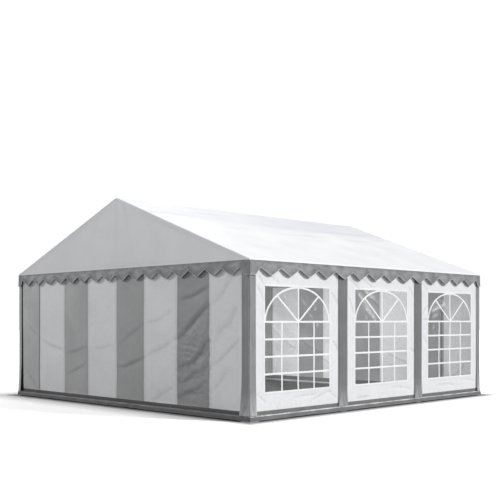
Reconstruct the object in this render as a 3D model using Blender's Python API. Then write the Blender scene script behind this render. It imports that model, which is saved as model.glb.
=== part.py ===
# Party marquee, 6 m by 6 m: a frame of steel tubes with sheet covers, three bays long.
# Metres, +Z up. The origin is on the ground under the middle of the tent. X runs across the gables, Y along
# the ridge. The front gable faces -Y, and the long side called right faces +X.
import math

import bmesh
import bpy
import numpy as np

# Driving sizes
WIDTH = 6.0
LENGTH = 6.0
BAYS = 3
EAVE_HEIGHT = 2.20
RIDGE_HEIGHT = 3.32
SHEET = 0.005
GAP = 0.0003
TUBE_RADIUS = 0.025
TUBE_WALL = 0.0015
TUBE_SIDES = 16
SPIGOT_RADIUS = 0.0222
SPIGOT_REACH = 0.12

# Roof
HALF_WIDTH = WIDTH / 2
HALF_LENGTH = LENGTH / 2
BAY = LENGTH / BAYS
PITCH = math.atan2(RIDGE_HEIGHT - EAVE_HEIGHT, HALF_WIDTH)
ROOF_HEM = 0.010
AXIS_DROP = (SHEET + GAP + TUBE_RADIUS) / math.cos(PITCH)

# The valance hangs from the roof's hem, and its lower edge is a zigzag with a point at each corner
VALANCE_TOP = EAVE_HEIGHT - ROOF_HEM - GAP
VALANCE_NOTCH = EAVE_HEIGHT - 0.108
VALANCE_POINT = EAVE_HEIGHT - 0.209
WAVES_LONG = 15
WAVES_GABLE = 17
STEPS_PER_WAVE = 6
ZIGZAG_ROUNDING = 0.4

# Layers of a wall, as distances of their outer faces from the outer face of the valance
COVER_INSET = 0.012
WALL_INSET = COVER_INSET + SHEET + GAP
PANE_INSET = WALL_INSET + SHEET + GAP
POST_INSET = WALL_INSET + SHEET + GAP + TUBE_RADIUS
POST_X = HALF_WIDTH - POST_INSET
POST_Y = HALF_LENGTH - POST_INSET
EAVE_AXIS = RIDGE_HEIGHT - POST_X * math.tan(PITCH) - AXIS_DROP
RIDGE_AXIS = RIDGE_HEIGHT - AXIS_DROP
BUTT = TUBE_RADIUS + 2 * GAP

# Foot plates and ground bars
PLATE = 0.008
CORNER_PLATE = 0.18
MIDDLE_PLATE = 0.12
WELD = 0.001
BAR_AXIS = PLATE + TUBE_RADIUS - WELD
SPIGOT_TOP = 0.15

# Walls
WALL_BOTTOM = 0.030
LONG_WALL_TOP = EAVE_AXIS - 0.010
GABLE_WALL_TOP = 2.150
PANEL_SPLIT = 0.006
LONG_WALL_END = HALF_LENGTH - 0.030
GABLE_WALL_CLOSED_END = HALF_WIDTH - 0.035
GABLE_WALL_SLIT_END = HALF_WIDTH - 0.138
GABLE_BEAM_DROP = 0.060

# Window openings and the foil behind them
WINDOW_WIDTH = 1.378
WINDOW_BOTTOM = 0.387
WINDOW_TOP = 1.841
FOIL_OVERLAP = 0.030

# Grey covers
COVER_BOTTOM = 0.0785
COVER_TOP = 2.150
POST_COVER_WIDTH = 0.216
CORNER_ON_LONG_SIDE = 0.124
CORNER_ON_GABLE = 0.167
CORNER_ON_GABLE_LOOSE = 0.091

# Skirt over the ground bars, from the wall outwards and down: distance out from the valance face, height
SKIRT_OUTSIDE = ((-0.0170, 0.0782), (-0.0100, 0.0777), (0.0040, 0.0705), (0.0140, 0.0560),
                 (0.0200, 0.0350), (0.0220, 0.0083))
SKIRT_INSIDE = ((0.0170, 0.0083), (0.0150, 0.0340), (0.0095, 0.0520), (0.0010, 0.0655),
                (-0.0110, 0.0727), (-0.0170, 0.0732))

WHITE = (0.90, 0.90, 0.91)
GREY = (0.26, 0.27, 0.28)
STEEL = (0.55, 0.56, 0.58)
FOIL = (0.85, 0.88, 0.90)


def clear_scene():
    for old in list(bpy.data.objects):
        bpy.data.objects.remove(old, do_unlink=True)


def material(name, colour, roughness, metallic=0.0, alpha=1.0):
    made = bpy.data.materials.new(name)
    made.use_nodes = True
    shader = made.node_tree.nodes["Principled BSDF"]
    shader.inputs["Base Color"].default_value = (*colour, 1.0)
    shader.inputs["Roughness"].default_value = roughness
    shader.inputs["Metallic"].default_value = metallic
    shader.inputs["Alpha"].default_value = alpha
    made.diffuse_color = (*colour, alpha)
    return made


def add_object(name, mesh, finish):
    made = bpy.data.objects.new(name, mesh)
    bpy.context.collection.objects.link(made)
    made.data.materials.clear()
    made.data.materials.append(finish(name))
    return made


def steel(name):
    return material(name + "_steel", STEEL, 0.38, metallic=0.9)


def white_sheet(name):
    return material(name + "_white", WHITE, 0.45)


def grey_sheet(name):
    return material(name + "_grey", GREY, 0.45)


def clear_foil(name):
    return material(name + "_foil", FOIL, 0.05, alpha=0.3)


def closed_mesh(name, points, faces, smooth=False):
    """A mesh from points and faces, with its faces turned outwards."""
    mesh = bpy.data.meshes.new(name)
    mesh.from_pydata([tuple(map(float, point)) for point in points], [], faces)
    work = bmesh.new()
    work.from_mesh(mesh)
    bmesh.ops.recalc_face_normals(work, faces=work.faces)
    work.to_mesh(mesh)
    work.free()
    if smooth:
        mesh.shade_smooth()
        mesh.set_sharp_from_angle(angle=math.radians(40))
    return mesh


def box_mesh(name, low, high):
    x, y, z = ((low[axis], high[axis]) for axis in range(3))
    points = [(x[i], y[j], z[k]) for i in (0, 1) for j in (0, 1) for k in (0, 1)]
    faces = [(0, 1, 3, 2), (4, 6, 7, 5), (0, 4, 5, 1), (2, 3, 7, 6), (0, 2, 6, 4), (1, 5, 7, 3)]
    return closed_mesh(name, points, faces)


def ring_points(centre, side, up, radius):
    """Points of a circle round centre, in the plane of the vectors side and up."""
    turn = np.arange(TUBE_SIDES) * 2 * math.pi / TUBE_SIDES
    return centre + radius * (np.outer(np.cos(turn), side) + np.outer(np.sin(turn), up))


def loft_faces(rings, sides):
    """Quads between each ring of points and the next one."""
    faces = []
    for ring in range(rings - 1):
        for i in range(sides):
            j = (i + 1) % sides
            faces.append((ring * sides + i, ring * sides + j, (ring + 1) * sides + j, (ring + 1) * sides + i))
    return faces


def path_rings(path, radius, level):
    """Circles square to a path of straight runs, mitred where it bends. The vector level is square to it."""
    path = np.array(path, float)
    level = np.array(level, float)
    steps = np.diff(path, axis=0)
    steps /= np.linalg.norm(steps, axis=1)[:, None]
    rings = []
    for i, point in enumerate(path):
        before = steps[max(i - 1, 0)]
        after = steps[min(i, len(steps) - 1)]
        along = (before + after) / np.linalg.norm(before + after)
        across = np.cross(along, level)
        rings.append(ring_points(point, level, across / np.dot(along, before), radius))
    return rings


def rod_mesh(name, path, radius, level):
    """A solid round bar along a path."""
    rings = path_rings(path, radius, level)
    faces = loft_faces(len(rings), TUBE_SIDES)
    last = (len(rings) - 1) * TUBE_SIDES
    faces.append(tuple(range(TUBE_SIDES)))
    faces.append(tuple(last + i for i in range(TUBE_SIDES)))
    return closed_mesh(name, np.concatenate(rings), faces, smooth=True)


def tube_mesh(name, path, level):
    """A hollow tube along a path, open at both ends: outer rings one way and inner rings back, closed up."""
    outer = path_rings(path, TUBE_RADIUS, level)
    inner = path_rings(path, TUBE_RADIUS - TUBE_WALL, level)
    rings = outer + inner[::-1] + outer[:1]
    faces = loft_faces(len(rings), TUBE_SIDES)
    count = (len(rings) - 1) * TUBE_SIDES
    faces = [tuple(index % count for index in face) for face in faces]
    return closed_mesh(name, np.concatenate(rings[:-1]), faces, smooth=True)


def fused_mesh(name, meshes):
    """One closed body from meshes that overlap."""
    parts = [bpy.data.objects.new(name + "_piece", mesh) for mesh in meshes]
    for part in parts:
        bpy.context.collection.objects.link(part)
    for part in parts[1:]:
        join = parts[0].modifiers.new("join", "BOOLEAN")
        join.operation = "UNION"
        join.solver = "EXACT"
        join.object = part
    bpy.context.view_layer.update()
    seen = parts[0].evaluated_get(bpy.context.evaluated_depsgraph_get())
    mesh = bpy.data.meshes.new_from_object(seen)
    mesh.name = name
    for part in parts:
        bpy.data.objects.remove(part, do_unlink=True)
    work = bmesh.new()
    work.from_mesh(mesh)
    bmesh.ops.remove_doubles(work, verts=work.verts, dist=0.00001)
    bmesh.ops.dissolve_degenerate(work, edges=work.edges, dist=0.00001)
    work.to_mesh(mesh)
    work.free()
    mesh.shade_smooth()
    mesh.set_sharp_from_angle(angle=math.radians(40))
    return mesh


def frame_lines():
    """The places of the four post lines along Y."""
    return [-POST_Y, -BAY / 2, BAY / 2, POST_Y]


def toward_middle(value):
    return -math.copysign(1.0, value)


# Ground frame: foot plates with spigots for the posts, and ground bars welded on the plates

def ground_frame():
    lines = frame_lines()
    meshes = []
    for x in (-POST_X, POST_X):
        for row, y in enumerate(lines):
            size = CORNER_PLATE if row in (0, len(lines) - 1) else MIDDLE_PLATE
            half = size / 2
            meshes.append(box_mesh("plate", (x - half, y - half, 0.0), (x + half, y + half, PLATE)))
            foot = (x, y, PLATE - WELD)
            meshes.append(rod_mesh("spigot", [foot, (x, y, SPIGOT_TOP)], SPIGOT_RADIUS, (0, 1, 0)))
        for start, end in zip(lines[:-1], lines[1:]):
            ends = [(x, start + BUTT, BAR_AXIS), (x, end - BUTT, BAR_AXIS)]
            meshes.append(rod_mesh("bar", ends, TUBE_RADIUS, (0, 0, 1)))
    for y in (-POST_Y, POST_Y):
        ends = [(-POST_X + BUTT, y, BAR_AXIS), (POST_X - BUTT, y, BAR_AXIS)]
        meshes.append(rod_mesh("bar", ends, TUBE_RADIUS, (0, 0, 1)))
    add_object("ground_frame", fused_mesh("ground_frame", meshes), steel)


# Posts: hollow tubes over the spigots, the corner ones with a side spigot for the gable beam

def posts():
    bottom = PLATE + GAP
    top = EAVE_AXIS - BUTT
    beam = EAVE_AXIS - GABLE_BEAM_DROP
    for side, x in (("right", POST_X), ("left", -POST_X)):
        for row, y in enumerate(frame_lines()):
            name = f"post_{side}_{row + 1}"
            mesh = tube_mesh(name, [(x, y, bottom), (x, y, top)], (0, 1, 0))
            if abs(y) == POST_Y:
                inward = toward_middle(x)
                start = x + inward * (TUBE_RADIUS - TUBE_WALL / 2)
                end = x + inward * (TUBE_RADIUS + SPIGOT_REACH)
                spigot = rod_mesh("spigot", [(start, y, beam), (end, y, beam)], SPIGOT_RADIUS, (0, 1, 0))
                mesh = fused_mesh(name, [mesh, spigot])
            add_object(name, mesh, steel)


def gable_beams():
    height = EAVE_AXIS - GABLE_BEAM_DROP
    reach = POST_X - BUTT
    for end, y in (("front", -POST_Y), ("back", POST_Y)):
        name = "gable_beam_" + end
        mesh = tube_mesh(name, [(-reach, y, height), (reach, y, height)], (0, 1, 0))
        add_object(name, mesh, steel)


# Eave purlins: one run of tube along each eave, with spigots down into the posts and up into the rafters

def eave_purlins():
    reach = POST_Y + TUBE_RADIUS
    for side, x in (("right", POST_X), ("left", -POST_X)):
        name = "eave_purlin_" + side
        meshes = [rod_mesh("run", [(x, -reach, EAVE_AXIS), (x, reach, EAVE_AXIS)], TUBE_RADIUS, (0, 0, 1))]
        length = TUBE_RADIUS + SPIGOT_REACH
        for y in frame_lines():
            middle = (x, y, EAVE_AXIS)
            down = (x, y, EAVE_AXIS - length)
            up = (x + toward_middle(x) * length * math.cos(PITCH), y, EAVE_AXIS + length * math.sin(PITCH))
            meshes.append(rod_mesh("down", [middle, down], SPIGOT_RADIUS, (0, 1, 0)))
            meshes.append(rod_mesh("up", [middle, up], SPIGOT_RADIUS, (0, 1, 0)))
        add_object(name, fused_mesh(name, meshes), steel)


# Roof trusses: two hollow rafters mitred at the ridge, with spigots along the ridge

def roof_trusses():
    foot_x = POST_X - BUTT * math.cos(PITCH)
    foot_z = EAVE_AXIS + BUTT * math.sin(PITCH)
    lines = frame_lines()
    for row, y in enumerate(lines):
        name = f"roof_truss_{row + 1}"
        path = [(foot_x, y, foot_z), (0.0, y, RIDGE_AXIS), (-foot_x, y, foot_z)]
        rafters = tube_mesh(name, path, (0, 1, 0))
        back = y if row == 0 else y - TUBE_RADIUS - SPIGOT_REACH
        ahead = y if row == len(lines) - 1 else y + TUBE_RADIUS + SPIGOT_REACH
        spigot = rod_mesh("spigot", [(0, back, RIDGE_AXIS), (0, ahead, RIDGE_AXIS)], SPIGOT_RADIUS, (0, 0, 1))
        add_object(name, fused_mesh(name, [rafters, spigot]), steel)


def ridge_purlins():
    lines = frame_lines()
    for bay, (start, end) in enumerate(zip(lines[:-1], lines[1:])):
        name = f"ridge_purlin_{bay + 1}"
        path = [(0, start + BUTT, RIDGE_AXIS), (0, end - BUTT, RIDGE_AXIS)]
        add_object(name, tube_mesh(name, path, (0, 0, 1)), steel)


# Roof cover: both slopes, a short hem down at each eave, and the two gable triangles, all one skin

def roof_profile(inset):
    """Half round of the roof's section, from the right hem over the ridge to the left hem."""
    drop = inset / math.cos(PITCH)
    x = HALF_WIDTH - inset
    eave = RIDGE_HEIGHT - x * math.tan(PITCH) - drop
    hem = EAVE_HEIGHT - ROOF_HEM
    return [(x, hem), (x, eave), (0.0, RIDGE_HEIGHT - drop), (-x, eave), (-x, hem)]


def roof_cover():
    points = []
    for inset in (0.0, SHEET):
        for y in (-HALF_LENGTH + inset, HALF_LENGTH - inset):
            points += [(x, y, z) for x, z in roof_profile(inset)]
    size = 5
    outer_front, outer_back, inner_front, inner_back = (range(i * size, (i + 1) * size) for i in range(4))
    faces = [tuple(outer_front), tuple(outer_back), tuple(inner_front), tuple(inner_back)]
    for front, back in ((outer_front, outer_back), (inner_front, inner_back)):
        for i in range(size - 1):
            faces.append((front[i], front[i + 1], back[i + 1], back[i]))
    rim_outer = (outer_front[0], outer_back[0], outer_back[-1], outer_front[-1])
    rim_inner = (inner_front[0], inner_back[0], inner_back[-1], inner_front[-1])
    for i in range(4):
        j = (i + 1) % 4
        faces.append((rim_outer[i], rim_outer[j], rim_inner[j], rim_inner[i]))
    add_object("roof_cover", closed_mesh("roof_cover", points, faces), white_sheet)


# Valance: a ring of sheet under the hem, whose lower edge swings between points and notches

def zigzag(phase):
    """Height of the lower edge at a phase of the wave: 0 and 1 are points, one half is a notch."""
    toward_point = np.abs(2 * phase - 1)
    eased = toward_point ** 2 * (3 - 2 * toward_point)
    share = (1 - ZIGZAG_ROUNDING) * toward_point + ZIGZAG_ROUNDING * eased
    return VALANCE_NOTCH + (VALANCE_POINT - VALANCE_NOTCH) * share


def valance():
    corners = np.array([(1, -1), (1, 1), (-1, 1), (-1, -1)], float) * (HALF_WIDTH, HALF_LENGTH)
    columns = []
    for side in range(4):
        waves = WAVES_LONG if side % 2 == 0 else WAVES_GABLE
        share = np.arange(waves * STEPS_PER_WAVE) / (waves * STEPS_PER_WAVE)
        along = corners[side] + np.outer(share, corners[(side + 1) % 4] - corners[side])
        columns.append(np.column_stack([along, zigzag(share * waves % 1.0)]))
    columns = np.concatenate(columns)
    inner = columns[:, :2] * (1 - SHEET / HALF_WIDTH)
    top = np.full(len(columns), VALANCE_TOP)
    rings = [np.column_stack([columns[:, :2], top]), columns,
             np.column_stack([inner, columns[:, 2]]), np.column_stack([inner, top])]
    count = len(columns)
    faces = [tuple(index % (4 * count) for index in face) for face in loft_faces(5, count)]
    add_object("valance", closed_mesh("valance", np.concatenate(rings), faces), grey_sheet)


# Walls: a striped curtain on each gable, and a panel with a window opening in each bay of the long sides

def gable_walls():
    outer = HALF_LENGTH - WALL_INSET
    for name, turn in (("gable_wall_front", -1), ("gable_wall_back", 1)):
        across = sorted((-turn * GABLE_WALL_CLOSED_END, turn * GABLE_WALL_SLIT_END))
        along = sorted((turn * outer, turn * (outer - SHEET)))
        low = (across[0], along[0], WALL_BOTTOM)
        high = (across[1], along[1], GABLE_WALL_TOP)
        add_object(name, box_mesh(name, low, high), white_sheet)


def sheet_with_opening(name, x_faces, wall, opening):
    """A flat sheet square to X. wall and opening are each (low Y, low Z, high Y, high Z)."""
    points = []
    for x in x_faces:
        for y0, z0, y1, z1 in (wall, opening):
            points += [(x, y0, z0), (x, y1, z0), (x, y1, z1), (x, y0, z1)]
    faces = []
    for i in range(4):
        j = (i + 1) % 4
        faces.append((i, j, 4 + j, 4 + i))
        faces.append((8 + i, 8 + j, 12 + j, 12 + i))
        faces.append((i, j, 8 + j, 8 + i))
        faces.append((4 + i, 4 + j, 12 + j, 12 + i))
    return closed_mesh(name, points, faces)


def bay_centres():
    return [BAY * (bay - (BAYS - 1) / 2) for bay in range(BAYS)]


def window_walls():
    outer = HALF_WIDTH - WALL_INSET
    for side, sign in (("right", 1), ("left", -1)):
        for bay, centre in enumerate(bay_centres()):
            low = max(centre - BAY / 2 + PANEL_SPLIT / 2, -LONG_WALL_END)
            high = min(centre + BAY / 2 - PANEL_SPLIT / 2, LONG_WALL_END)
            wall = (low, WALL_BOTTOM, high, LONG_WALL_TOP)
            half = WINDOW_WIDTH / 2
            opening = (centre - half, WINDOW_BOTTOM, centre + half, WINDOW_TOP)
            name = f"window_wall_{side}_{bay + 1}"
            faces = (sign * outer, sign * (outer - SHEET))
            add_object(name, sheet_with_opening(name, faces, wall, opening), white_sheet)


def window_panes():
    outer = HALF_WIDTH - PANE_INSET
    half = WINDOW_WIDTH / 2 + FOIL_OVERLAP
    for side, sign in (("right", 1), ("left", -1)):
        across = sorted((sign * outer, sign * (outer - SHEET)))
        for bay, centre in enumerate(bay_centres()):
            name = f"window_pane_{side}_{bay + 1}"
            low = (across[0], centre - half, WINDOW_BOTTOM - FOIL_OVERLAP)
            high = (across[1], centre + half, WINDOW_TOP + FOIL_OVERLAP)
            add_object(name, box_mesh(name, low, high), clear_foil)


# Grey covers: a flat strip over each middle post, and an angle round each corner

def post_covers():
    outer = HALF_WIDTH - COVER_INSET
    half = POST_COVER_WIDTH / 2
    for side, sign in (("right", 1), ("left", -1)):
        across = sorted((sign * outer, sign * (outer - SHEET)))
        for row in (1, 2):
            name = f"post_cover_{side}_{row + 1}"
            y = frame_lines()[row]
            low = (across[0], y - half, COVER_BOTTOM)
            high = (across[1], y + half, COVER_TOP)
            add_object(name, box_mesh(name, low, high), grey_sheet)


def corner_covers():
    x = HALF_WIDTH - COVER_INSET
    y = HALF_LENGTH - COVER_INSET
    long_side = HALF_LENGTH - CORNER_ON_LONG_SIDE
    for end, y_sign in (("front", -1), ("back", 1)):
        for side, x_sign in (("right", 1), ("left", -1)):
            loose = x_sign * y_sign > 0
            gable_side = HALF_WIDTH - (CORNER_ON_GABLE_LOOSE if loose else CORNER_ON_GABLE)
            plan = [(gable_side, y), (x, y), (x, long_side), (x - SHEET, long_side),
                    (x - SHEET, y - SHEET), (gable_side, y - SHEET)]
            points = [(x_sign * px, y_sign * py, z) for z in (COVER_BOTTOM, COVER_TOP) for px, py in plan]
            size = len(plan)
            faces = loft_faces(2, size) + [tuple(range(size)), tuple(range(size, 2 * size))]
            name = f"corner_cover_{end}_{side}"
            add_object(name, closed_mesh(name, points, faces), grey_sheet)


# Skirt: one profile of sheet carried round the four sides, from the wall out over the bars to the plates

def ground_skirt():
    profile = SKIRT_OUTSIDE + SKIRT_INSIDE
    points = []
    for x_sign, y_sign in ((1, -1), (1, 1), (-1, 1), (-1, -1)):
        points += [(x_sign * (HALF_WIDTH + out), y_sign * (HALF_LENGTH + out), z) for out, z in profile]
    size = len(profile)
    faces = [tuple(index % (4 * size) for index in face) for face in loft_faces(5, size)]
    add_object("ground_skirt", closed_mesh("ground_skirt", points, faces), grey_sheet)


clear_scene()
ground_frame()
posts()
gable_beams()
eave_purlins()
roof_trusses()
ridge_purlins()
roof_cover()
valance()
gable_walls()
window_walls()
window_panes()
post_covers()
corner_covers()
ground_skirt()
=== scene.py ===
import math

import bpy
import numpy as np
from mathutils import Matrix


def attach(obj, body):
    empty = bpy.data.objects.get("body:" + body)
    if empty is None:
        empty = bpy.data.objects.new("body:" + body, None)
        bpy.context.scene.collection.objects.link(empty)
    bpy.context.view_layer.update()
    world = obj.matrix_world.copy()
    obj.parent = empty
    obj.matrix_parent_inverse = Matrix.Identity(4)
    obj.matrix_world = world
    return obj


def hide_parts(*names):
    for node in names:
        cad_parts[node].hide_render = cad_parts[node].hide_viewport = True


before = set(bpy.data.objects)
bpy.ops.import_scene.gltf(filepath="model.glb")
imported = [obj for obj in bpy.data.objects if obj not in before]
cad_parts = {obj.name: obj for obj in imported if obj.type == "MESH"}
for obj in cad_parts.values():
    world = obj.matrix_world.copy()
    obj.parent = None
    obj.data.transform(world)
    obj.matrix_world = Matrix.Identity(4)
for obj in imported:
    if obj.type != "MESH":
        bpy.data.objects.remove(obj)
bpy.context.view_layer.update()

# Camera, floor and lamps: a level view over the near corner, on a pale studio floor that fades to a white
# surround. A broad sun from the right lights the long side, and a weaker one from the left lights the front
# gable. Two lamps inside brighten the room behind the panes.
IMAGE_SIZE = 499
FOCAL_PIXELS = 856.45
HORIZON_ROW = 319.785
CAMERA_PLACE = (11.1112, -11.1456, 1.3786)
CAMERA_TURN = 44.9058
SENSOR = 36.0
FLOOR_BOUNCE = 0.30
FLOOR_SHADE = 0.055
FLOOR_GLOW = 0.48
SHADED_FLOOR = (3.01, 3.24)
GLOWING_FLOOR = (3.10, 3.7)
FLOOR_REACH = 90.0
FLOOR_DROP = 0.0005

lens = bpy.data.cameras.new("studio_camera")
lens.sensor_width = SENSOR
lens.lens = FOCAL_PIXELS / IMAGE_SIZE * SENSOR
lens.shift_y = (HORIZON_ROW - IMAGE_SIZE / 2) / IMAGE_SIZE
lens.clip_end = 200.0
camera = bpy.data.objects.new("studio_camera", lens)
camera.location = CAMERA_PLACE
camera.rotation_euler = (math.radians(90), 0, math.radians(CAMERA_TURN))
bpy.context.collection.objects.link(camera)
bpy.context.scene.camera = camera
bpy.context.scene.view_settings.view_transform = "Standard"


class Field:
    """A value, place or colour that changes over a surface, as a shader node puts it out. Arithmetic with it
    adds Math nodes."""

    def __init__(self, tree, socket):
        self.tree, self.socket = tree, socket

    def math(self, operation, other=0.0, clamp=False):
        """This value and another, put through one Math node. Each sign below stands for one too."""
        return node(self.tree, "Math", {0: self, 1: other}, operation=operation, use_clamp=clamp)[0]

    def __add__(self, other):
        return self.math("ADD", other)

    def __sub__(self, other):
        return self.math("SUBTRACT", other)

    def __mul__(self, other):
        return self.math("MULTIPLY", other)

    def __mod__(self, other):
        return self.math("FLOORED_MODULO", other)

    def __gt__(self, other):
        return self.math("GREATER_THAN", other)

    def __abs__(self):
        return self.math("ABSOLUTE")

    def part(self, number):
        """The x, y or z of a place."""
        return node(self.tree, "SeparateXYZ", {0: self})[number]

    def between(self, low, high, from_low=0.0, from_high=1.0):
        """The value carried from one range to another, and held there."""
        return node(self.tree, "MapRange", {0: self, 1: from_low, 2: from_high, 3: low, 4: high})[0]

    def near(self, place, reach, fade):
        """1 where the value is within reach of a place, and down to 0 at the distance fade."""
        return abs(self - place).between(1.0, 0.0, reach, fade)

    def noise(self, scale, detail, output=0, roughness=0.5):
        """Soft random patches over places, from 0 to 1."""
        inputs = {"Vector": self, "Scale": scale, "Detail": detail, "Roughness": roughness}
        return node(self.tree, "TexNoise", inputs)[output]

    def blend(self, first, second):
        """The colour that is first where the value is 0 and second where it is 1."""
        return blend_colours(self.tree, self, first, second)


def connect(made, inputs):
    """Sets a node's inputs, given by name or number, and links those that are fields."""
    for key, value in inputs.items():
        if isinstance(value, Field):
            value.tree.links.new(value.socket, made.inputs[key])
        else:
            made.inputs[key].default_value = value


def put_out(tree, made):
    """What a node puts out, as fields by number and by name."""
    outputs = [Field(tree, socket) for socket in made.outputs]
    return dict(enumerate(outputs)) | {field.socket.name: field for field in outputs}


def node(tree, kind, inputs, **settings):
    """Adds a shader node of that kind, and returns what it puts out."""
    made = tree.nodes.new("ShaderNode" + kind)
    for key, value in settings.items():
        setattr(made, key, value)
    connect(made, inputs)
    return put_out(tree, made)


def blend_colours(tree, share, first, second):
    """The colour that is first where share is 0 and second where it is 1."""
    ends = [end if isinstance(end, Field) else (*end, 1.0) for end in (first, second)]
    return node(tree, "Mix", {0: share, 6: ends[0], 7: ends[1]}, data_type="RGBA")[2]


def new_finish(name):
    """An empty material: its node tree and its shader."""
    made = bpy.data.materials.new(name)
    made.use_nodes = True
    return made, made.node_tree, made.node_tree.nodes["Principled BSDF"]


def new_piece(name, points, faces, finishes, places=None, smooth=True):
    """A mesh object from points and faces. places is the place on the flat cloth, in metres, of each face's
    corners in turn, and becomes the UV map."""
    mesh = bpy.data.meshes.new(name)
    mesh.from_pydata(np.reshape(points, (-1, 3)).tolist(), [], faces)
    for finish in finishes:
        mesh.materials.append(finish)
    if places is not None:
        mesh.uv_layers.new(name="cloth").uv.foreach_set("vector", places.ravel().astype(np.float32))
    if smooth:
        mesh.shade_smooth()
    piece = bpy.data.objects.new(name, mesh)
    bpy.context.collection.objects.link(piece)
    return piece


# The floor looks white to the camera, but has painted shade under the tent and a painted contact shadow along
# its foot, and throws less light back on the walls
floor_finish, tree, shader = new_finish("studio_floor")
spot = node(tree, "TexCoord", {})["Object"]
seen = node(tree, "LightPath", {})["Is Camera Ray"]
from_middle = abs(spot.part(0)).math("MAXIMUM", abs(spot.part(1)))
pale = spot.noise(0.35, 4.0).blend((0.90, 0.90, 0.895), (0.93, 0.93, 0.925))
shaded = seen.blend((FLOOR_BOUNCE,) * 3, (FLOOR_SHADE,) * 3)
connect(shader, {
    "Base Color": (seen * from_middle.between(0.0, 1.0, *SHADED_FLOOR)).blend(shaded, pale),
    "Emission Strength": seen * from_middle.between(0.0, FLOOR_GLOW, *GLOWING_FLOOR),
    "Emission Color": (1.0, 1.0, 1.0, 1.0), "Roughness": 0.9, "Specular IOR Level": 0.1})
floor_corners = [(x * FLOOR_REACH, y * FLOOR_REACH, -FLOOR_DROP)
                 for x, y in ((-1, -1), (1, -1), (1, 1), (-1, 1))]
floor = new_piece("studio_floor", floor_corners, [(0, 1, 2, 3)], [floor_finish], smooth=False)

surround = bpy.data.worlds.new("studio_surround")
surround.use_nodes = True
bpy.context.scene.world = surround
tree = surround.node_tree
tree.nodes.clear()
strength = node(tree, "LightPath", {})["Is Camera Ray"].between(0.33, 1.02)
backdrop = node(tree, "Background", {"Color": (0.99, 0.995, 1.0, 1.0), "Strength": strength})[0]
connect(tree.nodes.new("ShaderNodeOutputWorld"), {"Surface": backdrop})


def add_lamp(name, kind, strength, place, aim, **settings):
    """A lamp at a place that shines towards the point aim."""
    light = bpy.data.lights.new(name, kind)
    light.energy = strength
    for key, value in settings.items():
        setattr(light, key, value)
    lamp = bpy.data.objects.new(name, light)
    lamp.location = place
    way = np.array(aim, float) - np.array(place, float)
    tilt = math.acos(-way[2] / np.linalg.norm(way))
    lamp.rotation_euler = (tilt, 0, math.atan2(way[1], way[0]) - math.pi / 2)
    lamp.visible_camera = False
    bpy.context.collection.objects.link(lamp)


for name, strength, place, spread in (
        ("key_lamp", 2.95, (15.2, 8.0, 12.0), 9), ("gable_lamp", 1.06, (-11.0, -6.5, 4.4), 5),
        ("corner_lamp", 0.30, (11.0, -11.0, 6.0), 40), ("fill_lamp", 0.40, (-12.0, 8.0, 9.0), 30)):
    add_lamp(name, "SUN", strength, place, (0, 0, 0), angle=math.radians(spread))
for name, strength, place, aim, wide, long in (
        ("roof_glow", 92.0, (0, 0, 2.45), (0, 0.01, 0), 3.6, 4.6),
        ("inside_lamp_back", 7.0, (0, -0.8, 1.7), (0, 3, 1.2), 4.8, 1.2)):
    add_lamp(name, "AREA", strength, place, aim, shape="RECTANGLE", size=wide, size_y=long)

# Frame: round steel tubes pushed together over plugs, on foot plates. They are hot-dip galvanised, so the
# zinc is dull, with small crystals, cloudy patches and a little dust near the ground.
STEEL_NODES = ("ground_frame", "post_right_", "post_left_", "gable_beam_", "eave_purlin_", "roof_truss_",
               "ridge_purlin_")


def shader_group(name, inputs, outputs):
    """An empty node group with named inputs and outputs: its tree, its inputs as fields and its last node."""
    made = bpy.data.node_groups.new(name, "ShaderNodeTree")
    for socket, kind in inputs.items():
        made.interface.new_socket(socket, in_out="INPUT", socket_type="NodeSocket" + kind)
    for socket in outputs:
        made.interface.new_socket(socket, in_out="OUTPUT", socket_type="NodeSocketFloat")
    return made, put_out(made, made.nodes.new("NodeGroupInput")), made.nodes.new("NodeGroupOutput")


def use_group(tree, group, inputs):
    """Places a node group in a tree with its inputs set, and returns what it puts out."""
    made = tree.nodes.new("ShaderNodeGroup")
    made.node_tree = group
    connect(made, inputs)
    return put_out(tree, made)


# Clouds: two sizes of soft random patches, each from 0 to 1
clouds, given, result = shader_group("clouds", {"Place": "Vector", "Patches": "Float"}, ("Broad", "Fine"))
broad = given["Place"].noise(given["Patches"], 3.0)
fine = given["Place"].noise(given["Patches"] * 7.0, 4.0)
connect(result, {"Broad": broad.between(0.0, 1.0, 0.3, 0.7), "Fine": fine.between(0.0, 1.0, 0.3, 0.7)})

# Splash: dust and dried rain marks that fade with the height above the ground
splash, given, result = shader_group("splash", {"Place": "Vector", "Reach": "Float"}, ("Dust",))
low = given["Place"].part(2).between(1.0, 0.0, 0.0, given["Reach"])
specks = given["Place"].noise(14.0, 6.0, roughness=0.7).between(0.15, 1.0, 0.35, 0.65)
connect(result, {"Dust": low * low * specks})

steel, tree, shader = new_finish("galvanised_steel")
spot = node(tree, "TexCoord", {})["Object"]
patches = use_group(tree, clouds, {"Place": spot, "Patches": 9.0})
dust = use_group(tree, splash, {"Place": spot, "Reach": 0.35})["Dust"]
spangle = node(tree, "TexVoronoi", {"Vector": spot, "Scale": 95.0, "Randomness": 1.0})["Color"].part(0)
zinc = (spangle * 0.5).blend((0.47, 0.48, 0.50), (0.66, 0.67, 0.69))
zinc = (patches["Broad"] * 0.35).blend(zinc, (0.40, 0.41, 0.42))
dents = node(tree, "Bump", {"Height": spangle * 0.3 + patches["Fine"], "Distance": 0.0004, "Strength": 0.5})
connect(shader, {
    "Base Color": (dust * 0.6).blend(zinc, (0.30, 0.28, 0.24)), "Metallic": dust.between(0.92, 0.22),
    "Roughness": patches["Fine"].between(0.34, 0.52) + dust * 0.3, "Normal": dents[0]})

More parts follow.
